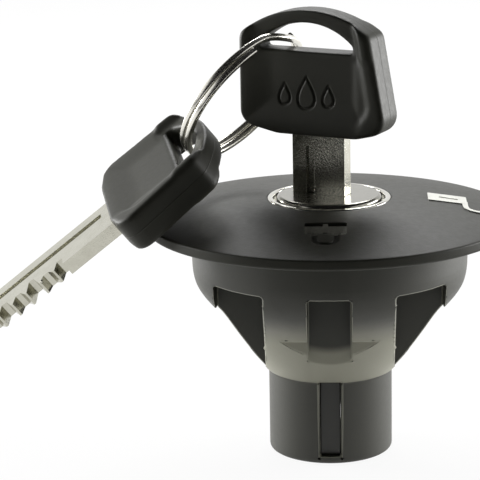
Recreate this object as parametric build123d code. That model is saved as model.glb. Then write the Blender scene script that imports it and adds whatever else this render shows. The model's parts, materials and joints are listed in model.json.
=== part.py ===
"""Locking fuel filler cap that plugs into a capless filler neck.

Millimetres, +Z up.  The origin is the centre of the nose's flat end, on the lock's axis.
The cap stands on its nose.  -Y is the side with the closed-lock sign, +X the open one.
One key sits in the lock, and a split ring ties it to a spare key that leans on the cover.
"""
import os
from math import cos, degrees, radians, sin, sqrt, tan

from build123d import *

os.makedirs("parts", exist_ok=True)

# ---------------------------------------------------------------- driving dimensions
# nose: the tube that enters the filler neck
NOSE_R = 11.25
NOSE_H = 15.3
NOSE_WALL = 1.9
NOSE_EDGE_R = 0.8
GROOVE_W = 3.7
GROOVE_Z0 = 1.45
GROOVE_ROOF = 0.3           # how far the groove runs into the bowl above the nose
GROOVE_EDGE = 0.5

# bowl and cup: the cone above the nose and the round wall under the cover
CUP_R = 25.2
CUP_WALL = 2.0
CONE_SLOPE = 0.78           # radius gained for each millimetre of height
LIP_R = 20.9                # where the cone meets the rounded foot of the wall
SHOULDER_Z = 35.6           # below this the wall curves in
CUP_TOP_Z = 42.0
POCKET_TOP_Z = 34.4
CEILING = 2.0               # plate between the pockets and the space under the cover

# pockets, drawn front and back
FRONT_POCKET_W = 7.7
FRONT_POCKET_BACK = 15.5
SIDE_POCKET_X0 = 11.6
SIDE_POCKET_X1 = 20.5
WEB_T = 3.0
POCKET_EDGE_R = 0.6
NOTCH_ROOT_Y = 13.0
NOTCH_ROOT_Z = 23.9
NOTCH_ROOF_SLOPE = 0.256
NOTCH_FLOOR_SLOPE = 0.6

# well in the basket, which holds the lock case
WELL_FLOOR_Z = 21.6
WELL_FLOOR_T = 2.0
WELL_WALL = 2.45

# cover
RIM_R = 33.3
RIM_T = 1.9
RIM_TOP_EDGE_R = 0.4
RIM_LOW_EDGE_R = 0.6
DOME_H = 3.2
DOME_BULGE = 0.6
COVER_CENTRE_T = 3.5
SKIRT_T = 1.35
SKIRT_DEPTH = 3.5
SEAL_INSET = 1.7            # from the rim's edge to the seal
SEAL_CUP_GAP = 1.8          # from the cup's wall to the seal
SEAL_DEPTH = 1.2
SEAL_PROUD = 0.3

# lock case, bezel and gasket
CASE_R = 10.0
CASE_FLANGE_W = 0.9
CASE_FLANGE_T = 0.5
CASE_SKIRT_T = 1.0
CASE_SKIRT_H = 2.4
CHANNEL_DEPTH = 1.0
GASKET_T = 0.4
COUNTERBORE_DEPTH = 2.5
BEZEL_OVERHANG = 0.25       # bezel beyond the case's flange
BEZEL_LEDGE = 0.1           # bezel's bore beyond the case's radius
BEZEL_PROUD = 0.15
BEZEL_EDGE_R = 0.35
SNAP_RING_Z = 38.0
SNAP_RING_H = 0.8
SNAP_RING_DEPTH = 0.5
SNAP_RING_GAP_DEG = 30.0
LUG_W = 2.0                 # lug that keeps the case from turning, in the snap ring's gap
LUG_DEPTH = 0.9

# plug, its face and its clip
PLUG_WALL = 2.45            # wall of the case round the plug
PLUG_HEAD_GAP = 0.6         # dark gap between the plug's face and the bezel
PLUG_HEAD_T = 1.7
PLUG_TAIL_L = 1.8           # plug below the case's bore
FACE_SKIN = 0.4
FACE_EDGE_R = 0.8
CLIP_FOOT_GAP = 0.6         # clip's edge to the case's foot ring
CLIP_T = 0.7
CLIP_GROOVE_DEPTH = 0.9
CLIP_MOUTH_DEG = 60.0
SHAFT_R = 4.0
SQUARE_W = 3.2

# key, shared by the two keys
BLADE_W = 10.3
BLADE_T = 2.7
BLADE_L = 33.7
BLADE_TANG_L = 9.0
BLADE_TANG_W = 7.0
BLADE_TIP_CUT = 2.6
MILLING_W = 1.6
MILLING_DEPTH = 0.6
MILLING_X = -1.6
BIT_PITCH = 3.2
BIT_FIRST_Z = 10.4
BIT_FLAT = 1.0
BIT_LAND = 0.4              # uncut edge left between two cuts
BIT_DEPTHS = (4.2, 2.4, 1.4, 3.4, 2.0, 2.8, 1.6)
HEAD_T = 7.6
PANEL_T = 5.0
HEAD_LEFT = 14.8
HEAD_RIGHT = 14.1
HEAD_RIGHT_TOP = 11.0
SHOULDER_LEFT_Z = 16.8
SHOULDER_RIGHT_Z = 17.4
ARCH_X = -1.6
ARCH_Z = 21.5
HEAD_CORNER_R = 3.2
HEAD_SHOULDER_R = 2.0
HEAD_EDGE_R = 1.2
PANEL_BORDER = 2.6          # to the panel's floor, at the left and at the foot
PANEL_BORDER_RIGHT = 3.4
PANEL_CORNER_R = 2.4
SLOT_LEFT = 11.0
SLOT_RIGHT = 7.2
SLOT_FLOOR_Z = 14.1
SLOT_TIP_H = 1.2
SLOT_PEAK_X = -2.5
SLOT_PEAK_H = 5.0
SLOT_EDGE_R = 0.6
FOOT_LEFT = 7.4             # the foot swells down round the blade between these two
FOOT_RIGHT = 8.0
FOOT_DROP = 1.1
FOOT_CORNER_Z = 0.4
FOOT_BLEND_R = 6.0

# wafers
WAFER_COUNT = 5
WAFER_FIRST_BIT = 2         # the cut on the blade that the first wafer rides
WAFER_T = 1.0
WAFER_W = 6.0
WAFER_RIM_GAP = 0.1

# latch: two bars in the nose's grooves, moved by a cam with two spiral slots
BAR_DEPTH = 2.6
BAR_RECESS = 1.3            # bar's face inside the nose's surface, at rest
FOOT_T = 2.6
FOOT_REACH = 1.3            # foot beyond its pin, towards the axis
PIN_R = 0.75
PIN_ORBIT_R = 4.6
CAM_T = 2.0
CAM_PLAY = 0.3
THROW_PER_DEG = 0.04        # latch travel for each degree of the plug
OPEN_DEG = 30.0
CLOSED_DEG = 60.0
SLOT_OVERRUN_DEG = 3.0
GUIDE_T = 2.8
NOSE_CAP_T = 1.3

# split ring
RING_R = 13.7
WIRE_RADIAL = 1.15
WIRE_AXIAL = 1.15
RING_TURN_GAP = 0.1
RING_JOG_DEG = 30.0
RING_END_DEG = 12.0

# clearances
SLIDE_PLAY = 0.1
RUNNING_PLAY = 0.05
CASE_PLAY = 0.15
CAM_RADIAL_PLAY = 0.65
SHAFT_PLAY = 0.3
KEYWAY_PLAY = 0.15
KEYWAY_TIP_PLAY = 0.4

# how far a cutting shape runs past the face it opens
OVERCUT = 1.0

# how the key stands in the lock, and where the ring and the spare key lie
KEY_TURN_DEG = 25.0         # the blade's cut edge points this far clockwise of +X
KEY_OFFSET = -1.45          # blade centre from the lock's axis, along the blade's width
KEY_SEAT_H = 12.0           # underside of the key's head above the plug's face
RING_CENTRE = (-15.57, 4.39, 64.96)
RING_AXIS = (0.690, -0.455, -0.563)
RING_START_X = (0.0, 0.0, 1.0)
SPARE_SEAT = (-37.15, -6.62, 45.99)
SPARE_WIDTH_AXIS = (0.191, -0.973, -0.133)
SPARE_LENGTH_AXIS = (0.783, 0.070, 0.618)

# ---------------------------------------------------------------- dependent sizes and levels
SEAL_R0 = CUP_R + SEAL_CUP_GAP
SEAL_R1 = RIM_R - SEAL_INSET
CASE_FLANGE_R = CASE_R + CASE_FLANGE_W
BEZEL_R = CASE_FLANGE_R + BEZEL_OVERHANG
BEZEL_INNER_R = CASE_R + BEZEL_LEDGE
CASE_BORE_R = CASE_R - PLUG_WALL
PLUG_R = CASE_BORE_R - RUNNING_PLAY
PLUG_HEAD_R = BEZEL_INNER_R - PLUG_HEAD_GAP - FACE_SKIN
CLIP_R = CASE_R - CASE_SKIRT_T - CLIP_FOOT_GAP
NOSE_BORE_R = NOSE_R - NOSE_WALL
CAM_R = NOSE_BORE_R - CAM_RADIAL_PLAY
SHAFT_HOLE_R = SHAFT_R + SHAFT_PLAY
WELL_R = CASE_R + CASE_PLAY
NOSE_ROOF_Z = WELL_FLOOR_Z - WELL_FLOOR_T
CAVITY_FLOOR_Z = POCKET_TOP_Z + CEILING
RIM_TOP_Z = CUP_TOP_Z + RIM_T
DOME_TOP_Z = RIM_TOP_Z + DOME_H
COUNTERBORE_R = BEZEL_R + RUNNING_PLAY
COUNTERBORE_Z = DOME_TOP_Z - COUNTERBORE_DEPTH
COVER_UNDER_Z = DOME_TOP_Z - COVER_CENTRE_T
CASE_FLANGE_Z = COUNTERBORE_Z + GASKET_T
CASE_TOP_Z = CASE_FLANGE_Z + CASE_FLANGE_T
CASE_BORE_Z = WELL_FLOOR_Z + CASE_SKIRT_H
BEZEL_TOP_Z = DOME_TOP_Z + BEZEL_PROUD
PLUG_HEAD_Z = CASE_TOP_Z + SLIDE_PLAY
PLUG_TOP_Z = PLUG_HEAD_Z + PLUG_HEAD_T
PLUG_END_Z = CASE_BORE_Z - PLUG_TAIL_L
FACE_TOP_Z = PLUG_TOP_Z + FACE_SKIN
KEY_SEAT_Z = FACE_TOP_Z + KEY_SEAT_H
CAM_Z = NOSE_H + CAM_PLAY
FOOT_TOP_Z = CAM_Z - CAM_PLAY
FOOT_Z = FOOT_TOP_Z - FOOT_T
BAR_Z = GROOVE_Z0 + CAM_PLAY
BAR_R = NOSE_R - BAR_RECESS
SHAFT_END_Z = CAM_Z + CAM_T + CAM_PLAY

KEY_FRAME = Location((0, 0, 0), (0, 0, -KEY_TURN_DEG))
KEY_SEAT = KEY_FRAME * Location((KEY_OFFSET, 0, KEY_SEAT_Z))
SPARE_PLACE = Location(Plane(origin=SPARE_SEAT, x_dir=SPARE_WIDTH_AXIS, z_dir=SPARE_LENGTH_AXIS))
RING_PLACE = Location(Plane(origin=RING_CENTRE, x_dir=RING_START_X, z_dir=RING_AXIS))


def save(name, shape):
    """Write one sub-part."""
    export_step(shape, f"parts/{name}.step")


def revolved(points, arc_start=None):
    """A closed outline of (radius, height) points, turned about the Z axis.

    With a start direction, an arc closes it, from the first point to the last.
    """
    if arc_start is None:
        outline = make_face(Polyline(*points, close=True))
    else:
        arc = TangentArc(points[0], points[-1], tangent=arc_start)
        outline = make_face([Polyline(*points), arc])
    return revolve(Plane.XZ * outline, axis=Axis.Z)


def ring(outer_r, inner_r, z0, z1):
    """A plain ring between two heights."""
    return Pos(0, 0, z0) * extrude(Circle(outer_r) - Circle(inner_r), amount=z1 - z0)


def slab(x0, x1, y0, y1, z0, z1):
    """A box given by its limits."""
    centre = ((x0 + x1) / 2, (y0 + y1) / 2, (z0 + z1) / 2)
    return Pos(*centre) * Box(x1 - x0, y1 - y0, z1 - z0)


def case_lug(play):
    """Lug along the case's side, or with play the groove that it slides in."""
    half = LUG_W / 2 + play
    reach = CASE_R + LUG_DEPTH + play
    lug = slab(CASE_R - CASE_SKIRT_T, reach, -half, half, WELL_FLOOR_Z, COUNTERBORE_Z)
    return Rot(0, 0, -SNAP_RING_GAP_DEG / 2) * lug


def cone_z(radius):
    """Height of the bowl's cone at a radius."""
    return NOSE_H + (radius - NOSE_R) / CONE_SLOPE


def edges_at(shape, radius, height, tolerance=0.01):
    """Circular edges of a turned shape with this radius and height."""
    found = [e for e in shape.edges().filter_by(GeomType.CIRCLE)
             if abs(e.radius - radius) < tolerance and abs(e.center().Z - height) < tolerance]
    return found


# ---------------------------------------------------------------- basket
def basket():
    """Nose, bowl, cup and well: one moulding with pockets drawn to the front and back."""
    cup_inner = CUP_R - CUP_WALL
    well_outer = WELL_R + WELL_WALL
    body = revolved([
        (CUP_R, SHOULDER_Z), (CUP_R, CUP_TOP_Z), (cup_inner, CUP_TOP_Z),
        (cup_inner, CAVITY_FLOOR_Z), (well_outer, CAVITY_FLOOR_Z), (well_outer, COVER_UNDER_Z),
        (WELL_R, COVER_UNDER_Z), (WELL_R, WELL_FLOOR_Z), (SHAFT_HOLE_R, WELL_FLOOR_Z),
        (SHAFT_HOLE_R, NOSE_ROOF_Z), (NOSE_BORE_R, NOSE_ROOF_Z), (NOSE_BORE_R, 0),
        (NOSE_R, 0), (NOSE_R, NOSE_H), (LIP_R, cone_z(LIP_R)),
    ], arc_start=(0, -1))
    body = fillet(edges_at(body, NOSE_R, 0), NOSE_EDGE_R)
    body -= ring(WELL_R + SNAP_RING_DEPTH, WELL_R, SNAP_RING_Z, SNAP_RING_Z + SNAP_RING_H)
    body -= case_lug(SLIDE_PLAY)
    for side in (1, -1):
        body -= front_pocket(side)
        for hand in (1, -1):
            body -= side_pocket(side, hand)
            body -= finger_notch(side, hand)
        body -= nose_groove(side)
    return body


def front_pocket(side):
    """Pocket in the middle of the front (side -1) or back, with rounded upper corners."""
    half = FRONT_POCKET_W / 2
    reach = CUP_R + OVERCUT
    block = slab(-half, half, FRONT_POCKET_BACK, reach, NOSE_H + OVERCUT, POCKET_TOP_Z)
    upper = block.edges().filter_by(Axis.Y).group_by(Axis.Z)[-1]
    return side_of(fillet(upper, POCKET_EDGE_R), side)


def side_pocket(side, hand):
    """Pocket beside the fingers, open down through the cone and stopped by the web."""
    reach = CUP_R + OVERCUT
    block = slab(SIDE_POCKET_X0, SIDE_POCKET_X1, WEB_T / 2, reach, NOSE_H - OVERCUT, POCKET_TOP_Z)
    upper = block.edges().filter_by(Axis.Y).group_by(Axis.Z)[-1]
    block = fillet(upper, POCKET_EDGE_R)
    if hand < 0:
        block = mirror(block, Plane.YZ)
    return side_of(block, side)


def finger_notch(side, hand):
    """Wedge cut across the foot of a finger."""
    reach = CUP_R + OVERCUT - NOTCH_ROOT_Y
    section = make_face(Polyline(
        (NOTCH_ROOT_Y, NOTCH_ROOT_Z),
        (NOTCH_ROOT_Y + reach, NOTCH_ROOT_Z + NOTCH_ROOF_SLOPE * reach),
        (NOTCH_ROOT_Y + reach, NOTCH_ROOT_Z - NOTCH_FLOOR_SLOPE * reach),
        close=True,
    ))
    half = FRONT_POCKET_W / 2
    wedge = Pos(half, 0, 0) * extrude(Plane.YZ * section, amount=SIDE_POCKET_X0 - half)
    if hand < 0:
        wedge = mirror(wedge, Plane.YZ)
    return side_of(wedge, side)


def nose_groove(side):
    """Slot through the nose's wall for a latch bar, with eased long edges."""
    half = GROOVE_W / 2
    z1 = NOSE_H + GROOVE_ROOF
    block = slab(-half, half, NOSE_BORE_R - OVERCUT, NOSE_R + OVERCUT, GROOVE_Z0, z1)
    flared = half + GROOVE_EDGE * 2
    flare = make_face(Polyline(
        (half, NOSE_R - GROOVE_EDGE), (flared, NOSE_R + GROOVE_EDGE),
        (-flared, NOSE_R + GROOVE_EDGE), (-half, NOSE_R - GROOVE_EDGE), close=True,
    ))
    block += Pos(0, 0, GROOVE_Z0) * extrude(flare, amount=NOSE_H - GROOVE_Z0)
    return side_of(block, side)


def side_of(shape, side):
    """The shape as drawn, on +Y, or turned half round to -Y."""
    return shape if side > 0 else Rot(0, 0, 180) * shape


# ---------------------------------------------------------------- cover and its seal
def cover():
    """Domed cover with a thin rim, a skirt that enters the cup and a seat for the lock."""
    skirt_r = CUP_R - CUP_WALL - RUNNING_PLAY
    skirt_inner = skirt_r - SKIRT_T
    middle_r = (COUNTERBORE_R + RIM_R) / 2
    middle_z = (DOME_TOP_Z + RIM_TOP_Z) / 2 + DOME_BULGE
    dome = ThreePointArc((COUNTERBORE_R, DOME_TOP_Z), (middle_r, middle_z), (RIM_R, RIM_TOP_Z))
    rest = Polyline(
        (RIM_R, RIM_TOP_Z), (RIM_R, CUP_TOP_Z), (SEAL_R1, CUP_TOP_Z),
        (SEAL_R1, CUP_TOP_Z + SEAL_DEPTH), (SEAL_R0, CUP_TOP_Z + SEAL_DEPTH),
        (SEAL_R0, CUP_TOP_Z), (skirt_r, CUP_TOP_Z), (skirt_r, CUP_TOP_Z - SKIRT_DEPTH),
        (skirt_inner, CUP_TOP_Z - SKIRT_DEPTH), (skirt_inner, COVER_UNDER_Z),
        (WELL_R, COVER_UNDER_Z), (WELL_R, COUNTERBORE_Z), (COUNTERBORE_R, COUNTERBORE_Z),
        (COUNTERBORE_R, DOME_TOP_Z),
    )
    body = revolve(Plane.XZ * make_face([dome, rest]), axis=Axis.Z)
    body = fillet(edges_at(body, RIM_R, RIM_TOP_Z), RIM_TOP_EDGE_R)
    body = fillet(edges_at(body, RIM_R, CUP_TOP_Z), RIM_LOW_EDGE_R)
    return body - case_lug(SLIDE_PLAY)


def cover_seal():
    """Flat rubber ring in the underside of the rim, a little proud of it."""
    return ring(SEAL_R1, SEAL_R0, CUP_TOP_Z - SEAL_PROUD, CUP_TOP_Z + SEAL_DEPTH)


# ---------------------------------------------------------------- lock
def lock_case():
    """Cast case: flange, bore for the plug, channels for the wafers, foot ring and lug."""
    foot_inner = CASE_R - CASE_SKIRT_T
    body = revolved([
        (CASE_BORE_R, CASE_BORE_Z), (foot_inner, CASE_BORE_Z), (foot_inner, WELL_FLOOR_Z),
        (CASE_R, WELL_FLOOR_Z), (CASE_R, CASE_FLANGE_Z), (CASE_FLANGE_R, CASE_FLANGE_Z),
        (CASE_FLANGE_R, CASE_TOP_Z), (CASE_BORE_R, CASE_TOP_Z),
    ])
    body -= ring(CASE_R, CASE_R - SNAP_RING_DEPTH, SNAP_RING_Z, SNAP_RING_Z + SNAP_RING_H)
    body += case_lug(0)
    half = WAFER_W / 2 + SLIDE_PLAY
    reach = CASE_BORE_R + CHANNEL_DEPTH
    return body - slab(-half, half, -reach, reach, CASE_BORE_Z + BIT_PITCH, CASE_TOP_Z - BIT_PITCH)


def lock_gasket():
    """Rubber washer between the case's flange and the cover."""
    return ring(CASE_FLANGE_R, WELL_R, COUNTERBORE_Z, CASE_FLANGE_Z)


def bezel_ring():
    """Bright ring round the plug's face, rounded on top."""
    body = ring(BEZEL_R, BEZEL_INNER_R, CASE_TOP_Z, BEZEL_TOP_Z)
    top = edges_at(body, BEZEL_R, BEZEL_TOP_Z) + edges_at(body, BEZEL_INNER_R, BEZEL_TOP_Z)
    return fillet(top, BEZEL_EDGE_R)


def case_snap_ring():
    """Spring ring that holds the case in the well, open at one place."""
    height = SNAP_RING_H - SLIDE_PLAY
    outer = WELL_R + SNAP_RING_DEPTH - SLIDE_PLAY
    inner = CASE_R - SNAP_RING_DEPTH + SLIDE_PLAY
    section = slab(inner, outer, -height / 2, height / 2, 0, 1).faces().sort_by(Axis.Z)[0]
    wire = revolve(Plane.XZ * section, axis=Axis.Z, revolution_arc=360 - SNAP_RING_GAP_DEG)
    return Pos(0, 0, SNAP_RING_Z + SNAP_RING_H / 2) * wire


def plug():
    """Turning plug: keyway, wafer slots, clip groove and the square that drives the cam."""
    body = revolved([
        (0, SHAFT_END_Z), (SHAFT_R, SHAFT_END_Z), (SHAFT_R, PLUG_END_Z), (PLUG_R, PLUG_END_Z),
        (PLUG_R, PLUG_HEAD_Z), (PLUG_HEAD_R, PLUG_HEAD_Z), (PLUG_HEAD_R, PLUG_TOP_Z),
        (0, PLUG_TOP_Z),
    ])
    body = fillet(edges_at(body, PLUG_HEAD_R, PLUG_TOP_Z), FACE_EDGE_R - FACE_SKIN)
    clip_z = CASE_BORE_Z - CLIP_T - SLIDE_PLAY
    body -= ring(PLUG_R, PLUG_R - CLIP_GROOVE_DEPTH, clip_z - SLIDE_PLAY, CASE_BORE_Z)
    body += slab(-SQUARE_W / 2, SQUARE_W / 2, -SQUARE_W / 2, SQUARE_W / 2,
                 CAM_Z + SLIDE_PLAY, SHAFT_END_Z)
    body -= keyway(PLUG_TOP_Z)
    for z in wafer_levels():
        half_w = WAFER_W / 2 + RUNNING_PLAY
        half_t = WAFER_T / 2 + RUNNING_PLAY
        body -= slab(-PLUG_R, PLUG_R, -half_w, half_w, z - half_t, z + half_t)
    return KEY_FRAME * body


def keyway(top_z):
    """The room for the blade, from just below its tip up to a level."""
    half_w = BLADE_W / 2 + KEYWAY_PLAY
    half_t = BLADE_T / 2 + KEYWAY_PLAY
    z0 = KEY_SEAT_Z - BLADE_L - KEYWAY_TIP_PLAY
    return slab(KEY_OFFSET - half_w, KEY_OFFSET + half_w, -half_t, half_t, z0, top_z)


def wafer_levels():
    """Heights of the wafers, each at a cut of the blade."""
    first = KEY_SEAT_Z - BIT_FIRST_Z - WAFER_FIRST_BIT * BIT_PITCH
    return [first - i * BIT_PITCH for i in range(WAFER_COUNT)]


def wafer(z):
    """Flat wafer with round ends and a window for the blade."""
    disc = Pos(0, 0, z - WAFER_T / 2) * extrude(Circle(PLUG_R - WAFER_RIM_GAP), amount=WAFER_T)
    plate = disc & slab(-PLUG_R, PLUG_R, -WAFER_W / 2, WAFER_W / 2, z - WAFER_T, z + WAFER_T)
    return KEY_FRAME * (plate - keyway(PLUG_TOP_Z))


def plug_face():
    """Bright skin over the plug's head, with a rounded edge and the key's opening."""
    outer_r = PLUG_HEAD_R + FACE_SKIN
    body = revolved([
        (0, PLUG_TOP_Z), (PLUG_HEAD_R, PLUG_TOP_Z), (PLUG_HEAD_R, PLUG_HEAD_Z + SLIDE_PLAY),
        (outer_r, PLUG_HEAD_Z + SLIDE_PLAY), (outer_r, FACE_TOP_Z), (0, FACE_TOP_Z),
    ])
    body = fillet(edges_at(body, outer_r, FACE_TOP_Z), FACE_EDGE_R)
    body = fillet(edges_at(body, PLUG_HEAD_R, PLUG_TOP_Z), FACE_EDGE_R - FACE_SKIN)
    return KEY_FRAME * (body - keyway(FACE_TOP_Z + OVERCUT))


def plug_clip():
    """Open clip in the plug's groove, below the case's bore."""
    z1 = CASE_BORE_Z - SLIDE_PLAY
    body = ring(CLIP_R, PLUG_R - CLIP_GROOVE_DEPTH, z1 - CLIP_T, z1)
    width = CLIP_R * tan(radians(CLIP_MOUTH_DEG / 2))
    mouth = slab(0, CLIP_R * 2, -width, width, z1 - CLIP_T, z1)
    return KEY_FRAME * (body - mouth)


# ---------------------------------------------------------------- latch
def latch_cam():
    """Disc with two spiral slots that move the latch bars in or out."""
    body = Pos(0, 0, CAM_Z) * extrude(Circle(CAM_R), amount=CAM_T)
    square = SQUARE_W + RUNNING_PLAY
    hole = slab(-square / 2, square / 2, -square / 2, square / 2, CAM_Z, CAM_Z + CAM_T)
    body -= KEY_FRAME * hole
    slot = Pos(0, 0, CAM_Z) * extrude(spiral_slot(), amount=CAM_T)
    return body - slot - Rot(0, 0, 180) * slot


def spiral_slot():
    """Slot of constant width along the spiral that a latch's pin follows on the cam."""
    steps = 8
    half = PIN_R + SLIDE_PLAY
    first = -OPEN_DEG - SLOT_OVERRUN_DEG
    last = CLOSED_DEG + SLOT_OVERRUN_DEG
    growth = degrees(THROW_PER_DEG)
    inner = []
    outer = []
    for i in range(steps + 1):
        turn = first + (last - first) * i / steps
        radius = PIN_ORBIT_R + THROW_PER_DEG * turn
        reach = half * sqrt(1 + (growth / radius) ** 2)
        angle = radians(turn - 90)
        inner.append(((radius - reach) * cos(angle), (radius - reach) * sin(angle)))
        outer.append(((radius + reach) * cos(angle), (radius + reach) * sin(angle)))
    sides = [Spline(*inner), Line(inner[-1], outer[-1]), Spline(*outer), Line(outer[0], inner[0])]
    slot = make_face(sides)
    for near, far in ((inner[0], outer[0]), (inner[-1], outer[-1])):
        middle = ((near[0] + far[0]) / 2, (near[1] + far[1]) / 2)
        slot += Pos(*middle) * Circle(half)
    return slot


def latch_bar(side):
    """Bar in the nose's groove with a foot and a pin that rides in the cam."""
    half = GROOVE_W / 2 - SLIDE_PLAY
    bar = slab(-half, half, BAR_R - BAR_DEPTH, BAR_R, BAR_Z, FOOT_TOP_Z)
    bar = chamfer(bar.edges().filter_by(Axis.X).group_by(Axis.Z)[0].sort_by(Axis.Y)[-1], half / 2)
    foot = slab(-half, half, PIN_ORBIT_R - FOOT_REACH, BAR_R - BAR_DEPTH, FOOT_Z, FOOT_TOP_Z)
    pin_top = CAM_Z + CAM_T - CAM_PLAY
    pin = Pos(0, PIN_ORBIT_R, FOOT_TOP_Z) * extrude(Circle(PIN_R), amount=pin_top - FOOT_TOP_Z)
    return side_of(bar + foot + pin, side)


def latch_guide():
    """Disc pressed into the nose, which carries the latches' feet and clears their bars."""
    z1 = FOOT_Z - SLIDE_PLAY
    body = Pos(0, 0, z1 - GUIDE_T) * extrude(Circle(NOSE_BORE_R), amount=GUIDE_T)
    half = GROOVE_W / 2
    inner = BAR_R - BAR_DEPTH - THROW_PER_DEG * OPEN_DEG - SLIDE_PLAY * 2
    for side in (1, -1):
        body -= side_of(slab(-half, half, inner, NOSE_R, z1 - GUIDE_T, z1), side)
    return body


def nose_cap():
    """Disc that closes the nose's end, flush with it."""
    return extrude(Circle(NOSE_BORE_R), amount=NOSE_CAP_T)


# ---------------------------------------------------------------- keys
def key_blade():
    """Flat blade with cuts on one edge, a milled groove on each face and a tang."""
    half = BLADE_W / 2
    tip = -BLADE_L
    outline = [(-BLADE_TANG_W / 2, BLADE_TANG_L), (-BLADE_TANG_W / 2, 0), (-half, 0),
               (-half, tip + BLADE_TIP_CUT), (-half + BLADE_TIP_CUT, tip), (half - BLADE_TIP_CUT, tip)]
    for i in reversed(range(len(BIT_DEPTHS))):
        centre = -BIT_FIRST_Z - i * BIT_PITCH
        depth = BIT_DEPTHS[i]
        slope = min(depth, (BIT_PITCH - BIT_FLAT - BIT_LAND) / 2)
        outline += [(half, centre - BIT_FLAT / 2 - slope), (half - depth, centre - BIT_FLAT / 2),
                    (half - depth, centre + BIT_FLAT / 2), (half, centre + BIT_FLAT / 2 + slope)]
    outline += [(half, 0), (BLADE_TANG_W / 2, 0), (BLADE_TANG_W / 2, BLADE_TANG_L)]
    plate = Pos(0, BLADE_T / 2, 0) * extrude(Plane.XZ * make_face(Polyline(*outline, close=True)),
                                             amount=BLADE_T)
    for side in (1, -1):
        face_y = side * BLADE_T / 2
        floor_y = face_y - side * MILLING_DEPTH
        plate -= slab(MILLING_X - MILLING_W / 2, MILLING_X + MILLING_W / 2,
                      min(face_y, floor_y), max(face_y, floor_y), tip, -FOOT_DROP * 3)
    return plate


def head_outline():
    """The head seen from its broad side: swelling foot, leaning side and arched top."""
    arch = ThreePointArc((HEAD_RIGHT_TOP, SHOULDER_RIGHT_Z), (ARCH_X, ARCH_Z),
                         (-HEAD_LEFT, SHOULDER_LEFT_Z))
    rest = Polyline((-HEAD_LEFT, SHOULDER_LEFT_Z), (-HEAD_LEFT, FOOT_CORNER_Z),
                    (-FOOT_LEFT, -FOOT_DROP), (FOOT_RIGHT, -FOOT_DROP),
                    (HEAD_RIGHT, FOOT_CORNER_Z), (HEAD_RIGHT_TOP, SHOULDER_RIGHT_Z))
    face = make_face([arch, rest])
    for levels, radius in (((-FOOT_DROP,), FOOT_BLEND_R), ((FOOT_CORNER_Z,), HEAD_CORNER_R),
                           ((SHOULDER_LEFT_Z, SHOULDER_RIGHT_Z), HEAD_SHOULDER_R)):
        corners = [v for v in face.vertices() if min(abs(v.Y - z) for z in levels) < 0.01]
        face = fillet(corners, radius)
    return face


def head_panel():
    """The sunk field on a broad side, open at the arch."""
    lean = (HEAD_RIGHT - HEAD_RIGHT_TOP) / SHOULDER_RIGHT_Z
    right = HEAD_RIGHT - PANEL_BORDER_RIGHT
    top = ARCH_Z + PANEL_BORDER
    face = make_face(Polyline(
        (-HEAD_LEFT + PANEL_BORDER, PANEL_BORDER), (right - lean * PANEL_BORDER, PANEL_BORDER),
        (right - lean * top, top), (-HEAD_LEFT + PANEL_BORDER, top), close=True,
    ))
    return fillet(face.vertices().sort_by(Axis.Y)[:2], PANEL_CORNER_R)


def head_slot():
    """The lens-shaped opening for the split ring."""
    left = (-SLOT_LEFT, SLOT_FLOOR_Z + SLOT_TIP_H)
    right = (SLOT_RIGHT, SLOT_FLOOR_Z + SLOT_TIP_H)
    arch = ThreePointArc(right, (SLOT_PEAK_X, SLOT_FLOOR_Z + SLOT_PEAK_H), left)
    rest = Polyline(left, (-SLOT_LEFT, SLOT_FLOOR_Z), (SLOT_RIGHT, SLOT_FLOOR_Z), right)
    return make_face([arch, rest])


def key_head():
    """Moulded head: thick border, sunk panels and a slot for the ring."""
    body = Pos(0, HEAD_T / 2, 0) * extrude(Plane.XZ * head_outline(), amount=HEAD_T)
    rims = body.faces().filter_by(Axis.Y).edges()
    body = fillet(rims, HEAD_EDGE_R)
    sunk = (HEAD_T - PANEL_T) / 2
    near = Pos(0, -PANEL_T / 2, 0) * extrude(Plane.XZ * head_panel(), amount=sunk + OVERCUT,
                                      taper=-45)
    body -= near
    body -= mirror(near, Plane.XZ)
    body -= Pos(0, HEAD_T / 2, 0) * extrude(Plane.XZ * head_slot(), amount=HEAD_T)
    slot_top = SLOT_FLOOR_Z + SLOT_PEAK_H + SLOT_EDGE_R
    mouths = [e for e in body.edges() if abs(abs(e.center().Y) - PANEL_T / 2) < 0.01
              and SLOT_FLOOR_Z - 0.01 < e.center().Z < slot_top
              and abs(e.center().X) < SLOT_LEFT + 0.01]
    return fillet(mouths, SLOT_EDGE_R) - key_blade()


# ---------------------------------------------------------------- split ring
def split_ring():
    """Two turns of flat wire, joined by a jog, with a short gap at each end."""
    pitch = WIRE_AXIAL + RING_TURN_GAP
    jog_half = RING_JOG_DEG / 2
    arc = 360 - RING_JOG_DEG - RING_END_DEG
    upper = wire_turn(pitch / 2, jog_half, arc)
    lower = wire_turn(-pitch / 2, jog_half + RING_END_DEG, arc)
    body = upper + lower
    steps = 3
    for i in range(steps):
        a0 = -jog_half + RING_JOG_DEG * i / steps
        a1 = -jog_half + RING_JOG_DEG * (i + 1) / steps
        z0 = -pitch / 2 + pitch * i / steps
        z1 = -pitch / 2 + pitch * (i + 1) / steps
        body += loft([wire_section(a0, z0), wire_section(a1, z1)])
    return body


def wire_section(angle, height):
    """The wire's section at an angle round the ring."""
    placed = Plane.XZ * (Pos(RING_R, height) * Rectangle(WIRE_RADIAL, WIRE_AXIAL))
    return Rot(0, 0, angle) * placed


def wire_turn(height, start, arc):
    """One flat turn of the wire."""
    return Rot(0, 0, start) * revolve(wire_section(0, height), axis=Axis.Z, revolution_arc=arc)


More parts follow.
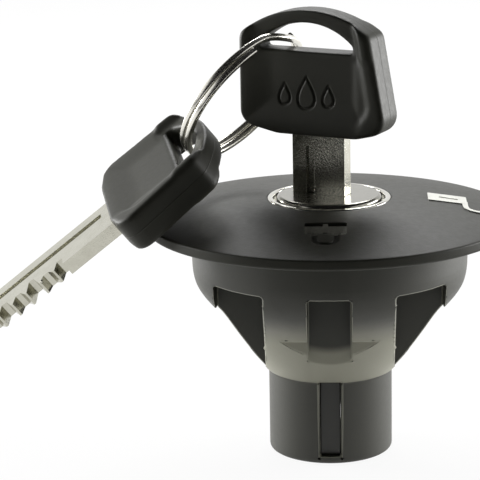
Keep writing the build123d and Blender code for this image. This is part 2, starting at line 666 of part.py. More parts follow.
# ---------------------------------------------------------------- assembly
save("basket", basket())
save("cover", cover())
save("cover_seal", cover_seal())
save("nose_cap", nose_cap())
save("latch_guide", latch_guide())
save("lock_case", lock_case())
save("lock_gasket", lock_gasket())
save("bezel_ring", bezel_ring())
save("case_snap_ring", case_snap_ring())
save("plug", plug())
save("plug_face", plug_face())
save("plug_clip", plug_clip())
save("latch_cam", latch_cam())
for number, level in enumerate(wafer_levels(), start=1):
    save(f"wafer_{number}", wafer(level))
save("latch_back", latch_bar(1))
save("latch_front", latch_bar(-1))
blade = key_blade()
head = key_head()
save("key_blade", KEY_SEAT * blade)
save("key_head", KEY_SEAT * head)
save("spare_blade", SPARE_PLACE * blade)
save("spare_head", SPARE_PLACE * head)
save("split_ring", RING_PLACE * split_ring())
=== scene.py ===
# %% [markdown]
# # A locking fuel filler cap, dressed in Blender
#
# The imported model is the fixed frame: every size and place comes from it. This lesson builds
# the visible surfaces round that frame: moulded plastic, rubber key heads, plated blades and
# a sprung steel ring. Lengths below are in millimetres and are turned into metres by MM.

# %% Load the frame
import bmesh
import bpy
import json
from math import atan2, cos, hypot, pi, radians, sin, tan
from mathutils import Matrix, Vector


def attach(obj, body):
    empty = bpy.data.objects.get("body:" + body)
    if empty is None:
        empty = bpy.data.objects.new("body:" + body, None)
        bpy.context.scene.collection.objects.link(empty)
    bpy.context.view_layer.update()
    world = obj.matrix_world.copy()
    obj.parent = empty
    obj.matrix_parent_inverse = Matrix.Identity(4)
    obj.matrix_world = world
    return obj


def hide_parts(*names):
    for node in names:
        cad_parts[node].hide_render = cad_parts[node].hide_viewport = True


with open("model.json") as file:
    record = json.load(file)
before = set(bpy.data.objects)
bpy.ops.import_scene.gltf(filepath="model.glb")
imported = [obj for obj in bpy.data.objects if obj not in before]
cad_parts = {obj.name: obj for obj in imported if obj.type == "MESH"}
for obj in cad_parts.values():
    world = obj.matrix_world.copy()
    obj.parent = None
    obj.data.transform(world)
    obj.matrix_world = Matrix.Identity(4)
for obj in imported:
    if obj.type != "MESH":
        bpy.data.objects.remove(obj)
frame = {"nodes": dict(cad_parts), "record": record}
scene = bpy.context.scene
MM = 0.001
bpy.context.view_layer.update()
print("nodes:", len(frame["nodes"]))

# %% [markdown]
# ## Camera
#
# A small object looks calm and undistorted through a long lens from half a metre away. The
# camera is described as a product photographer would: the point it looks at, how far it
# stands, how high, how far round to the side, and a slight roll of the tripod's head.

# %% Helper for new objects
def add_piece(name, data):
    """Put a mesh, a lamp or a camera in the scene."""
    piece = bpy.data.objects.new(name, data)
    scene.collection.objects.link(piece)
    return piece


# %% Camera
LENS_MM = 180.0
SENSOR_MM = 36.0
TARGET = Vector((-16.22, 0.0, 39.12)) * MM
DISTANCE = 435.7 * MM
ELEVATION = radians(14.37)
AZIMUTH = radians(2.5)
ROLL = radians(-0.99)


def camera_matrix():
    """The camera's place and axes, from its aim, height, side and roll."""
    back = Vector((sin(AZIMUTH) * cos(ELEVATION), -cos(AZIMUTH) * cos(ELEVATION), sin(ELEVATION)))
    level_right = (-back).cross(Vector((0, 0, 1))).normalized()
    level_up = level_right.cross(-back)
    right = cos(ROLL) * level_right + sin(ROLL) * level_up
    up = cos(ROLL) * level_up - sin(ROLL) * level_right
    axes = Matrix((right, up, back)).transposed().to_4x4()
    return Matrix.Translation(TARGET + back * DISTANCE) @ axes


camera_data = bpy.data.cameras.new("camera")
camera_data.lens = LENS_MM
camera_data.sensor_width = SENSOR_MM
camera_data.clip_start = 0.01
camera_data.clip_end = 20.0
camera = add_piece("camera", camera_data)
camera.matrix_world = camera_matrix()
scene.camera = camera
print("camera stands", round(DISTANCE / MM), "mm away")

# %% [markdown]
# ## Floor, sky and lamps
#
# Small hardware is shown in a light tent: white all round, so that polished metal has
# something to mirror, and dark where the camera's own opening is. The world is white to the
# camera and to mirrors, and a little dimmer as a light.

# %% Helpers for node trees
def float_inputs(tree, inputs):
    """Give a tree inputs with these names and default values."""
    for socket_name, value in inputs:
        socket = tree.interface.new_socket(socket_name, in_out="INPUT", socket_type="NodeSocketFloat")
        socket.default_value = value


def new_group(name, inputs, outputs):
    """A shader group with inputs (name, default) and named outputs, and the sockets inside it."""
    group = bpy.data.node_groups.new(name, "ShaderNodeTree")
    float_inputs(group, inputs)
    for socket_name in outputs:
        group.interface.new_socket(socket_name, in_out="OUTPUT", socket_type="NodeSocketFloat")
    return group, group.nodes.new("NodeGroupInput").outputs, group.nodes.new("NodeGroupOutput").inputs


def feed(tree, socket, value):
    """Set an input: a number becomes its value, a socket is linked to it."""
    if isinstance(value, (int, float)):
        socket.default_value = value
    else:
        tree.links.new(value, socket)


def math_node(tree, operation, first, second=None, clamp=False):
    """A math node; each operand is a socket or a number."""
    node = tree.nodes.new("ShaderNodeMath")
    node.operation = operation
    node.use_clamp = clamp
    feed(tree, node.inputs[0], first)
    if second is not None:
        feed(tree, node.inputs[1], second)
    return node.outputs[0]


def noise_node(tree, vector, scale, detail=2.0, roughness=0.5):
    """A noise texture; scale is a socket or a number."""
    node = tree.nodes.new("ShaderNodeTexNoise")
    for socket_name, value in zip(("Vector", "Scale", "Detail", "Roughness"),
                                  (vector, scale, detail, roughness)):
        feed(tree, node.inputs[socket_name], value)
    return node.outputs["Fac"]


def use_group(tree, group, **values):
    """Place a node group in a tree and set its inputs."""
    node = tree.nodes.new("ShaderNodeGroup")
    node.node_tree = group
    for socket_name, value in values.items():
        node.inputs[socket_name.replace("_", " ")].default_value = value
    return node


def colour_mix(tree, factor, first, second):
    """Mix two colours, each a socket or an (r, g, b) tuple."""
    node = tree.nodes.new("ShaderNodeMix")
    node.data_type = "RGBA"
    tree.links.new(factor, node.inputs["Factor"])
    for socket_name, colour in (("A", first), ("B", second)):
        if isinstance(colour, tuple):
            node.inputs[socket_name].default_value = (*colour, 1.0)
        else:
            tree.links.new(colour, node.inputs[socket_name])
    return node.outputs["Result"]


def value_range(tree, value, low, high):
    """Spread a 0 to 1 value between two numbers."""
    node = tree.nodes.new("ShaderNodeMapRange")
    node.inputs["To Min"].default_value = low
    node.inputs["To Max"].default_value = high
    tree.links.new(value, node.inputs["Value"])
    return node.outputs["Result"]


def soft_step(tree, value, *ends):
    """Ease a value between two ends, to 0 and 1 or to two more ends; each is a socket or a number."""
    node = tree.nodes.new("ShaderNodeMapRange")
    node.interpolation_type = "SMOOTHSTEP"
    for socket_name, end in zip(("Value", "From Min", "From Max", "To Min", "To Max"), (value, *ends)):
        feed(tree, node.inputs[socket_name], end)
    return node.outputs["Result"]


def object_place(tree):
    """Coordinates that stay with the piece, in metres."""
    return tree.nodes.new("ShaderNodeTexCoord").outputs["Object"]


def point_value(tree, name):
    """A value that was stored at the mesh's points."""
    node = tree.nodes.new("ShaderNodeAttribute")
    node.attribute_name = name
    return node.outputs["Fac"]


def new_material(name, specular, roughness=0.5):
    """A material with its node tree and its shader."""
    material = bpy.data.materials.new(name)
    material.use_nodes = True
    shader = material.node_tree.nodes["Principled BSDF"]
    shader.inputs["Specular IOR Level"].default_value = specular
    shader.inputs["Roughness"].default_value = roughness
    return material, material.node_tree, shader


def seen_directly(tree):
    """1 for camera, glossy and transmission rays, otherwise 0."""
    path = tree.nodes.new("ShaderNodeLightPath")
    direct = math_node(tree, "MAXIMUM", path.outputs["Is Camera Ray"], path.outputs["Is Glossy Ray"])
    return math_node(tree, "MAXIMUM", direct, path.outputs["Is Transmission Ray"])


# %% Floor and world
def plain_world(light_strength):
    """White for camera, glossy and transmission rays, dimmer for the light it casts."""
    world = bpy.data.worlds.new("light_tent")
    world.use_nodes = True
    nodes, links = world.node_tree.nodes, world.node_tree.links
    nodes.clear()
    strength = value_range(world.node_tree, seen_directly(world.node_tree), light_strength, 1.0)
    background = nodes.new("ShaderNodeBackground")
    background.inputs["Color"].default_value = (1.0, 1.0, 1.0, 1.0)
    links.new(strength, background.inputs["Strength"])
    output = nodes.new("ShaderNodeOutputWorld")
    links.new(background.outputs[0], output.inputs["Surface"])
    return world


def floor_material(glow):
    """White paper; the camera and mirrors see it lit from below, so its shadow stays faint."""
    material, tree, shader = new_material("studio_paper", specular=0.1, roughness=0.9)
    nodes, links = tree.nodes, tree.links
    tone = noise_node(tree, object_place(tree), 12.0)
    paper = colour_mix(tree, tone, (0.97, 0.97, 0.965), (0.99, 0.99, 0.985))
    links.new(paper, shader.inputs["Base Color"])
    lit = nodes.new("ShaderNodeEmission")
    lit.inputs["Strength"].default_value = 1.0
    blend = nodes.new("ShaderNodeMixShader")
    links.new(math_node(tree, "MULTIPLY", seen_directly(tree), glow), blend.inputs["Fac"])
    links.new(shader.outputs[0], blend.inputs[1])
    links.new(lit.outputs[0], blend.inputs[2])
    links.new(blend.outputs[0], nodes["Material Output"].inputs["Surface"])
    return material


def cloth_material():
    """Dark cloth of the tent's opening, with a faint weave of tone."""
    material, tree, shader = new_material("dark_cloth", specular=0.0, roughness=1.0)
    tone = value_range(tree, noise_node(tree, object_place(tree), 6.0), 0.01, 0.03)
    tree.links.new(tone, shader.inputs["Base Color"])
    return material


def flat_sheet(name, corners):
    """A stage sheet through four corners."""
    mesh = bpy.data.meshes.new(name)
    mesh.from_pydata(corners, [], [tuple(range(len(corners)))])
    return add_piece(name, mesh)


# The stage, in metres.
FLOOR_HALF, FLOOR_DROP, FLOOR_GLOW = 1.6, 0.00002, 0.92
WORLD_LIGHT = 0.60
CLOTH_HALF, CLOTH_LIFT = 0.75, 0.001
FRONT_Y, NEAR_Y, BACK_Y, ROOF_Z = -0.62, -0.12, 0.95, 0.62

floor = flat_sheet("floor", [(x * FLOOR_HALF, y * FLOOR_HALF, -FLOOR_DROP)
                             for x, y in ((-1, -1), (1, -1), (1, 1), (-1, 1))])
floor.data.materials.append(floor_material(FLOOR_GLOW))
# The dark cloths of the tent: behind the camera, on the table in front, and its roof.
cloth = cloth_material()
for sheet_name, (y0, z0), (y1, z1) in (("tent_opening", (FRONT_Y, 0.0), (FRONT_Y, ROOF_Z)),
                                       ("table_cloth", (FRONT_Y, CLOTH_LIFT), (NEAR_Y, CLOTH_LIFT)),
                                       ("tent_roof", (FRONT_Y, ROOF_Z), (BACK_Y, ROOF_Z))):
    sheet = flat_sheet(sheet_name, [(-CLOTH_HALF, y0, z0), (CLOTH_HALF, y0, z0),
                                    (CLOTH_HALF, y1, z1), (-CLOTH_HALF, y1, z1)])
    sheet.data.materials.append(cloth)
    sheet.visible_camera = False
scene.world = plain_world(WORLD_LIGHT)
scene.view_settings.view_transform = "Standard"
print("stage: floor and three cloths")

# %% [markdown]
# Two low soft boxes at the sides light the basket and leave the cover's top dark. A third one,
# high behind the cap, draws the light along the cover's front edge.

# %% Lamps
def soft_box(name, place, aim, width, height, power):
    """A rectangular soft box that looks at a point."""
    data = bpy.data.lights.new(name, "AREA")
    data.shape = "RECTANGLE"
    data.size = width
    data.size_y = height
    data.energy = power
    lamp = add_piece(name, data)
    lamp.location = place
    lamp.rotation_mode = "QUATERNION"
    lamp.rotation_quaternion = (Vector(aim) - Vector(place)).to_track_quat("-Z", "Y")
    return lamp


OBJECT_MIDDLE = (-0.01, 0.0, 0.035)
for name, place, width, height, power in (("soft_box_left", (-0.48, 0.20, 0.10), 0.30, 0.19, 3.2),
                                          ("soft_box_right", (0.48, 0.20, 0.10), 0.30, 0.19, 3.2),
                                          ("soft_box_top", (0.00, 0.42, 0.46), 0.34, 0.20, 2.6)):
    print("lamp:", soft_box(name, place, OBJECT_MIDDLE, width, height, power).name)

# %% [markdown]
# ## Shared surface effects
#
# Each effect is a node group that is built once and fed different values: the fine grain of a spark-eroded
# mould, the cloudy marks that handling leaves, a painted highlight along rounded edges, and painted light
# under the bowl where the white floor throws light up.

# %% Node group: mould grain
def build_mould_grain():
    """Grain of a spark-eroded mould: small soft pits over a faint coarser tone."""
    group, given, made = new_group("mould grain", [("Grains per metre", 3000.0), ("Coarse share", 0.35)],
                                   ["Height", "Tone"])
    place = object_place(group)
    fine = noise_node(group, place, given["Grains per metre"], 2.0, 0.6)
    coarse_scale = math_node(group, "MULTIPLY", given["Grains per metre"], 0.31)
    coarse = noise_node(group, place, coarse_scale, 3.0, 0.6)
    weighted = math_node(group, "MULTIPLY", coarse, given["Coarse share"])
    height = math_node(group, "ADD", fine, weighted)
    group.links.new(height, made["Height"])
    group.links.new(coarse, made["Tone"])
    return group


MOULD_GRAIN = build_mould_grain()
print("group:", MOULD_GRAIN.name)

# %% Node group: handling marks
SPECKS_PER_METRE, SPECK_SIZE = 420.0, 0.11


def build_handling():
    """Cloudy tone and sparse dust specks, as handling and storage leave them."""
    group, given, made = new_group("handling marks", [("Clouds per metre", 90.0), ("Speck share", 0.02)],
                                   ["Cloud", "Speck"])
    place = object_place(group)
    cloud = noise_node(group, place, given["Clouds per metre"], 4.0, 0.6)
    cells = group.nodes.new("ShaderNodeTexVoronoi")
    cells.inputs["Scale"].default_value = SPECKS_PER_METRE
    group.links.new(place, cells.inputs["Vector"])
    near = math_node(group, "LESS_THAN", cells.outputs["Distance"], SPECK_SIZE)
    chosen = math_node(group, "LESS_THAN", cells.outputs["Color"], given["Speck share"])
    speck = math_node(group, "MULTIPLY", near, chosen)
    group.links.new(cloud, made["Cloud"])
    group.links.new(speck, made["Speck"])
    return group


HANDLING = build_handling()
print("group:", HANDLING.name)

# %% Node group: painted edge highlight
def build_edge_highlight():
    """A mask for a painted highlight on rounded edges, from the point value that marks them, broken up by
    noise.
    """
    group, given, made = new_group("painted edge highlight", [("Breaks per metre", 900.0), ("Evenness", 0.6)],
                                   ["Mask"])
    place = object_place(group)
    breaks = noise_node(group, place, given["Breaks per metre"], 3.0, 0.6)
    kept = math_node(group, "ADD", breaks, given["Evenness"], clamp=True)
    mask = math_node(group, "MULTIPLY", point_value(group, "rounded_edge"), kept, clamp=True)
    group.links.new(mask, made["Mask"])
    return group


EDGE_HIGHLIGHT = build_edge_highlight()
print("group:", EDGE_HIGHLIGHT.name)

# %% Node group: painted light under the bowl
UNDERSIDE_CONE_SLOPE, UNDERSIDE_CONE_OFFSET = 0.76, -0.00033


def build_underside_light():
    """A mask for painted light on the bowl's underside and in its notches, as the white floor throws it up:
    full low down and on the outer skin, fading to the cup.
    """
    group, given, made = new_group("painted light under the bowl", [("Fade from", 0.031), ("Fade to", 0.0235)],
                                   ["Mask"])
    place = object_place(group)
    parts = group.nodes.new("ShaderNodeSeparateXYZ")
    group.links.new(place, parts.inputs["Vector"])
    x, y, z = (parts.outputs[axis] for axis in "XYZ")
    xx, yy = math_node(group, "MULTIPLY", x, x), math_node(group, "MULTIPLY", y, y)
    cone = math_node(group, "ADD", math_node(group, "MULTIPLY", z, UNDERSIDE_CONE_SLOPE), UNDERSIDE_CONE_OFFSET)
    radius = math_node(group, "SQRT", math_node(group, "ADD", xx, yy))
    depth = math_node(group, "SUBTRACT", radius, cone)
    # Each row fades in between two values: near the skin, low down, above the nose, off the webs.
    fades = [(depth, -0.0022, -0.0008), (z, given["Fade from"], given["Fade to"]),
             (z, 0.0152, 0.0158), (math_node(group, "ABSOLUTE", y), 0.0016, 0.005)]
    mask = soft_step(group, *fades[0])
    for fade in fades[1:]:
        mask = math_node(group, "MULTIPLY", mask, soft_step(group, *fade))
    group.links.new(mask, made["Mask"])
    return group


UNDERSIDE_LIGHT = build_underside_light()
print("group:", UNDERSIDE_LIGHT.name)

# %% [markdown]
# ## Finishes
#
# Every finish starts from one function: a base colour that drifts between two tones, a roughness that
# drifts the same way, a bump from the grain, a lighter painted highlight on rounded edges and painted light
# under the bowl. Plastic, rubber and plated metal differ in the values alone, which keeps them comparable.

# %% Finish builder
SPECK_COLOUR = (0.30, 0.29, 0.26)
SEAM_HALF_MM, SEAM_RISE = 0.16, 6.0


def finish_material(name, dark, light, rough, metallic=0.0, grain=3000.0, bump=0.3, depth=0.00002,
                    clouds=90.0, edge=None, underside_light=None, specks=0.0, specular=0.5, seam=False):
    """One finish: tones, roughness range, grain, a painted edge highlight, painted light under the bowl and
    a mould's seam.
    """
    material, tree, shader = new_material(name, specular)
    shader.inputs["Metallic"].default_value = metallic
    marks = use_group(tree, HANDLING, Clouds_per_metre=clouds, Speck_share=specks)
    texture = use_group(tree, MOULD_GRAIN, Grains_per_metre=grain)
    colour = colour_mix(tree, marks.outputs["Cloud"], dark, light)
    if specks:
        colour = colour_mix(tree, marks.outputs["Speck"], colour, SPECK_COLOUR)
    # Painted highlight: a lighter colour on rounded edges, standing in for the light they catch.
    if edge:
        highlit = use_group(tree, EDGE_HIGHLIGHT)
        colour = colour_mix(tree, highlit.outputs["Mask"], colour, edge)
    # Painted light: a pale colour low on the bowl and in its notches, standing in for light thrown up from
    # the white floor.
    if underside_light:
        lit_below = use_group(tree, UNDERSIDE_LIGHT)
        colour = colour_mix(tree, lit_below.outputs["Mask"], colour, underside_light)
    tree.links.new(colour, shader.inputs["Base Color"])
    tree.links.new(value_range(tree, texture.outputs["Tone"], *rough), shader.inputs["Roughness"])
    relief = tree.nodes.new("ShaderNodeBump")
    relief.inputs["Strength"].default_value = bump
    relief.inputs["Distance"].default_value = depth
    height = texture.outputs["Height"]
    if seam:
        distance = math_node(tree, "ABSOLUTE", point_value(tree, "from_parting_plane"))
        ridge = soft_step(tree, distance, 0.0, SEAM_HALF_MM, SEAM_RISE, 0.0)
        height = math_node(tree, "ADD", height, ridge)
    tree.links.new(height, relief.inputs["Height"])
    tree.links.new(relief.outputs["Normal"], shader.inputs["Normal"])
    return material


# %% The finishes of this cap
# A row: name, darker tone, lighter tone, roughness range, and the values unlike the usual ones.
POLISHED = dict(metallic=1.0, grain=1800.0, bump=0.06)
# Each edge colour below is a painted highlight on rounded edges.
LOOKS = [
    ("cover_plastic", (0.024, 0.024, 0.018), (0.038, 0.038, 0.028), (0.46, 0.60),
     dict(grain=2600.0, bump=0.55, depth=0.00004, edge=(0.12, 0.12, 0.095), specks=0.03, specular=0.25)),
    # The basket's pale underside colour is painted light from the white floor.
    ("basket_plastic", (0.040, 0.040, 0.031), (0.056, 0.056, 0.043), (0.40, 0.54),
     dict(grain=3600.0, bump=0.35, depth=0.00003, edge=(0.26, 0.26, 0.21), underside_light=(0.34, 0.335, 0.265),
          specks=0.03)),
    ("key_rubber", (0.030, 0.030, 0.023), (0.044, 0.044, 0.034), (0.42, 0.58),
     dict(grain=3800.0, bump=0.35, depth=0.00003, specks=0.02, specular=0.25, seam=True)),
    ("seal_rubber", (0.012, 0.012, 0.011), (0.020, 0.020, 0.018), (0.6, 0.8),
     dict(grain=2500.0, bump=0.3)),
    ("bright_steel", (0.60, 0.59, 0.53), (0.70, 0.69, 0.63), (0.06, 0.16), POLISHED),
    ("face_steel", (0.24, 0.235, 0.20), (0.34, 0.335, 0.30), (0.12, 0.24), POLISHED),
    ("ring_steel", (0.78, 0.76, 0.69), (0.88, 0.86, 0.79), (0.18, 0.30), POLISHED),
    ("key_steel", (0.46, 0.45, 0.38), (0.62, 0.61, 0.53), (0.12, 0.26),
     dict(metallic=1.0, grain=2800.0, bump=0.6, depth=0.00005, clouds=300.0, edge=(0.70, 0.69, 0.62))),
    ("spring_steel", (0.45, 0.45, 0.45), (0.60, 0.60, 0.60), (0.25, 0.40),
     dict(metallic=1.0, grain=2400.0, bump=0.2)),
    ("cast_zinc", (0.40, 0.40, 0.40), (0.52, 0.52, 0.51), (0.38, 0.55),
     dict(metallic=1.0, grain=1500.0, bump=0.4)),
    ("wafer_brass", (0.62, 0.46, 0.20), (0.74, 0.58, 0.28), (0.22, 0.38),
     dict(metallic=1.0, grain=2400.0, bump=0.2)),
    ("sign_floor", (0.008, 0.008, 0.007), (0.045, 0.045, 0.038), (0.10, 0.22),
     dict(grain=1500.0, bump=0.3, clouds=500.0)),
    ("sign_silver", (0.50, 0.50, 0.46), (0.66, 0.66, 0.61), (0.25, 0.40),
     dict(metallic=1.0, grain=1500.0, bump=0.3, clouds=400.0)),
    ("latch_plastic", (0.026, 0.026, 0.021), (0.036, 0.036, 0.028), (0.35, 0.50),
     dict(grain=2400.0, bump=0.2)),
]
FINISHES = {name: finish_material(name, dark, light, rough, **values)
            for name, dark, light, rough, values in LOOKS}
print("finishes:", len(FINISHES))

# %% [markdown]
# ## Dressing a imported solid
#
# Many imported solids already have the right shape. What they lack is the small round on every
# edge that moulding and plating leave, and that round is what catches the light. So a copy of
# the solid is merged into one skin, its flat faces are cleaned, and a narrow bevel goes on
# every sharp edge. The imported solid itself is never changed: the copy stands in for it.

# %% Helpers for meshes
def piece_from(name, shape):
    """Make a piece of an edited shape, which is used up."""
    mesh = bpy.data.meshes.new(name)
    shape.to_mesh(mesh)
    shape.free()
    return add_piece(name, mesh)


def settle(piece):
    """Turn the live modifiers of a piece into its plain mesh."""
    bpy.context.view_layer.update()
    shaped = bpy.data.meshes.new_from_object(piece.evaluated_get(bpy.context.evaluated_depsgraph_get()))
    piece.modifiers.clear()
    piece.data = shaped
    return piece


def merged_copy(name, node, flat_angle=0.6):
    """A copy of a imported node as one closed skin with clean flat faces."""
    shape = bmesh.new()
    shape.from_mesh(frame["nodes"][node].data)
    bmesh.ops.remove_doubles(shape, verts=shape.verts, dist=0.002 * MM)
    bmesh.ops.dissolve_degenerate(shape, edges=shape.edges, dist=0.002 * MM)
    bmesh.ops.dissolve_limit(shape, angle_limit=radians(flat_angle), verts=shape.verts, edges=shape.edges)
    return piece_from(name, shape)


def smooth_by_angle(piece, angle=32.0):
    """Smooth shading, kept sharp where faces meet at more than an angle."""
    piece.data.shade_smooth()
    piece.data.set_sharp_from_angle(angle=radians(angle))
    return piece


def round_edges(piece, width, segments=3, angle=32.0, clamp=True):
    """A narrow bevel on every edge sharper than an angle, marked by a point value."""
    piece.data.materials.clear()
    piece.data.materials.append(None)
    piece.data.materials.append(None)
    bevel = piece.modifiers.new("round edges", "BEVEL")
    bevel.width = width * MM
    bevel.segments = segments
    bevel.limit_method = "ANGLE"
    bevel.angle_limit = radians(angle)
    bevel.use_clamp_overlap = clamp
    bevel.material = 1
    settle(piece)
    smooth_by_angle(piece, 50.0)
    rounded = [1.0] * len(piece.data.vertices)
    for face in piece.data.polygons:
        if face.material_index == 0:
            for index in face.vertices:
                rounded[index] = 0.0
        face.material_index = 0
    mark = piece.data.attributes.new("rounded_edge", "FLOAT", "POINT")
    mark.data.foreach_set("value", rounded)
    weigh = piece.modifiers.new("weigh normals", "WEIGHTED_NORMAL")
    weigh.keep_sharp = True
    return settle(piece)


def dress(piece, finish, body, slot_name, *nodes):
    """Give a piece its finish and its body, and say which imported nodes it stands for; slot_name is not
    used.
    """
    piece.data.materials.clear()
    piece.data.materials.append(FINISHES[finish])
    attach(piece, body)
    if nodes:
        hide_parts(*nodes)
    print(piece.name, "triangles:", sum(len(p.vertices) - 2 for p in piece.data.polygons))
    return piece


# %% [markdown]
# ## Turned and cut shapes
#
# A lathe makes the round bodies: an outline of (radius, height, corner radius) goes round the
# lock's axis in equal steps. Prisms then cut pockets and grooves. This gives even facets, which
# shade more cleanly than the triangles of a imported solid.

# %% Helpers for turned and cut shapes
def soften_corners(corners, steps=6):
    """Replace each (x, y, radius) corner of a closed outline by an arc of that radius."""
    outline = []
    count = len(corners)
    for i, (x, y, radius) in enumerate(corners):
        here = Vector((x, y))
        before = (Vector(corners[i - 1][:2]) - here).normalized()
        after = (Vector(corners[(i + 1) % count][:2]) - here).normalized()
        if radius <= 0:
            outline.append((x, y))
            continue
        half = before.angle(after) / 2
        reach = radius / tan(half)
        centre = here + (before + after).normalized() * radius / sin(half)
        start = here + before * reach - centre
        sweep = start.angle_signed(here + after * reach - centre)
        for k in range(steps + 1):
            turn = -sweep * k / steps
            arm = Vector((start.x * cos(turn) - start.y * sin(turn),
                          start.x * sin(turn) + start.y * cos(turn)))
            outline.append(tuple(centre + arm))
    return outline


def arc_through(first, middle, last, steps):
    """Points of the circle's arc through three points, both ends included."""
    (ax, ay), (bx, by), (cx, cy) = first, middle, last
    d = 2 * (ax * (by - cy) + bx * (cy - ay) + cx * (ay - by))
    a2, b2, c2 = ax * ax + ay * ay, bx * bx + by * by, cx * cx + cy * cy
    ux = (a2 * (by - cy) + b2 * (cy - ay) + c2 * (ay - by)) / d
    uy = (a2 * (cx - bx) + b2 * (ax - cx) + c2 * (bx - ax)) / d
    radius = hypot(ax - ux, ay - uy)
    start, end = atan2(ay - uy, ax - ux), atan2(cy - uy, cx - ux)
    return [(ux + radius * cos(start + (end - start) * k / steps),
             uy + radius * sin(start + (end - start) * k / steps)) for k in range(steps + 1)]


def cut_corners(path, times):
    """An open path with its corners cut again and again, so that it turns smoothly."""
    for _ in range(times):
        cut = [path[0]]
        for (x0, y0), (x1, y1) in zip(path, path[1:]):
            cut += [(0.75 * x0 + 0.25 * x1, 0.75 * y0 + 0.25 * y1),
                    (0.25 * x0 + 0.75 * x1, 0.25 * y0 + 0.75 * y1)]
        path = cut + [path[-1]]
    return path


def lathe(name, outline, segments=192):
    """Turn a closed outline of (radius, height) points round Z."""
    shape = bmesh.new()
    rings = []
    for k in range(segments):
        angle = 2 * pi * k / segments
        rings.append([shape.verts.new((r * cos(angle) * MM, r * sin(angle) * MM, z * MM))
                      for r, z in outline])
    count = len(outline)
    for k in range(segments):
        here, there = rings[k], rings[(k + 1) % segments]
        for i in range(count):
            j = (i + 1) % count
            shape.faces.new((here[i], there[i], there[j], here[j]))
    bmesh.ops.recalc_face_normals(shape, faces=shape.faces)
    return piece_from(name, shape)


def prism(name, outline, place, low, high):
    """Extrude a closed outline between two levels; place(u, v, w) gives the (x, y, z)."""
    shape = bmesh.new()
    ends = []
    for level in (low, high):
        level_of = level if callable(level) else (lambda u, v, fixed=level: fixed)
        ends.append([shape.verts.new(Vector(place(u, v, level_of(u, v))) * MM) for u, v in outline])
    count = len(outline)
    for end in ends:
        shape.faces.new(end)
    for i in range(count):
        j = (i + 1) % count
        shape.faces.new((ends[0][i], ends[0][j], ends[1][j], ends[1][i]))
    bmesh.ops.recalc_face_normals(shape, faces=shape.faces)
    return piece_from(name, shape)


def rectangle(u0, u1, v0, v1, radius=0.0):
    """A rectangle's outline with equal corner radii."""
    corners = [(u0, v0, radius), (u1, v0, radius), (u1, v1, radius), (u0, v1, radius)]
    return soften_corners(corners, 4)


def combine(body, others, operation="DIFFERENCE"):
    """Cut other pieces out of a body, or join them to it; the others are used up."""
    for other in others:
        change = body.modifiers.new(operation.lower(), "BOOLEAN")
        change.operation = operation
        change.solver = "EXACT"
        change.object = other
        settle(body)
        bpy.data.objects.remove(other)
    return body


def along_y(u, v, w):
    """Outline in X and Z, extruded along Y."""
    return (u, w, v)


def along_x(u, v, w):
    """Outline in Y and Z, extruded along X."""
    return (w, u, v)


def along_z(u, v, w):
    """Outline in X and Y, extruded along Z."""
    return (u, v, w)


def span(first, last, hand):
    """Two distances from the middle as a low and a high coordinate on one side (hand 1 or -1)."""
    return sorted((first * hand, last * hand))


def tidy_mesh(piece, merge):
    """Merge the close points that cutting leaves."""
    shape = bmesh.new()
    shape.from_mesh(piece.data)
    bmesh.ops.remove_doubles(shape, verts=shape.verts, dist=merge * MM)
    bmesh.ops.dissolve_degenerate(shape, edges=shape.edges, dist=merge * MM)
    shape.to_mesh(piece.data)
    shape.free()
    return piece


# %% [markdown]
# ## Basket
#
# Nose, bowl and cup are one moulding. Its outline is turned first. Pockets are then cut from the
# front and the back, wedges across the fingers' feet, and two grooves for the latch bars.

# %% Basket sizes
NOSE_R, NOSE_BORE_R, NOSE_H, NOSE_ROOF_Z = 11.25, 9.35, 15.3, 19.6
CUP_R, CUP_TOP_Z = 24.95, 42.0
# (radius, height) points from the nose to the cup; their corners are cut smooth.
BOWL = [(11.8, 15.6), (12.8, 16.7), (13.8, 17.9), (15.5, 20.2), (17.15, 22.5), (18.3, 24.2), (19.2, 25.5),
        (20.1, 26.6), (21.1, 27.6), (22.1, 28.7), (23.1, 29.9), (23.85, 31.0), (24.4, 32.1), (24.7, 33.2),
        (24.9, 34.6), (CUP_R, 36.0)]
WELL_R, WELL_OUTER_R, WELL_TOP_Z, WELL_FLOOR_Z, SHAFT_HOLE_R = 10.15, 12.6, 43.6, 21.6, 4.3
SNAP_GROOVE_Z0, SNAP_GROOVE_Z1, SNAP_GROOVE_DEPTH = 38.0, 38.8, 0.5
CAVITY_R, CAVITY_FLOOR_Z = 23.2, 36.4
CUT_REACH = 26.5  # how far cutters reach, beyond the cup
POCKET_TOP_Z, POCKET_CORNER_R = 34.4, 0.6
FRONT_POCKET_HALF, FRONT_POCKET_FOOT_Z, FRONT_POCKET_FLOOR_Y = 3.85, 16.3, 15.5
SIDE_POCKET_X0, SIDE_POCKET_X1, SIDE_POCKET_FOOT_Z, WEB_HALF = 11.6, 20.5, 14.3, 1.5
# The notch's two faces start at a line inside the bowl and open outwards with these slopes.
NOTCH_X0, NOTCH_X1, NOTCH_Y = 3.84, 11.61, 16.6
NOTCH_LINE_Y, NOTCH_LINE_Z, NOTCH_UP, NOTCH_DOWN = 13.0, 23.9, 0.256, -0.6
GROOVE_HALF, GROOVE_Y0, GROOVE_Y1, GROOVE_Z0, GROOVE_Z1 = 1.85, 8.35, 12.5, 1.45, 15.6
FLARE_HALF, FLARE_Y0, FLARE_Y1 = 3.1, 10.75, 12.0
LUG_TURN, CASE_SEAT_Z = radians(-15), 44.6

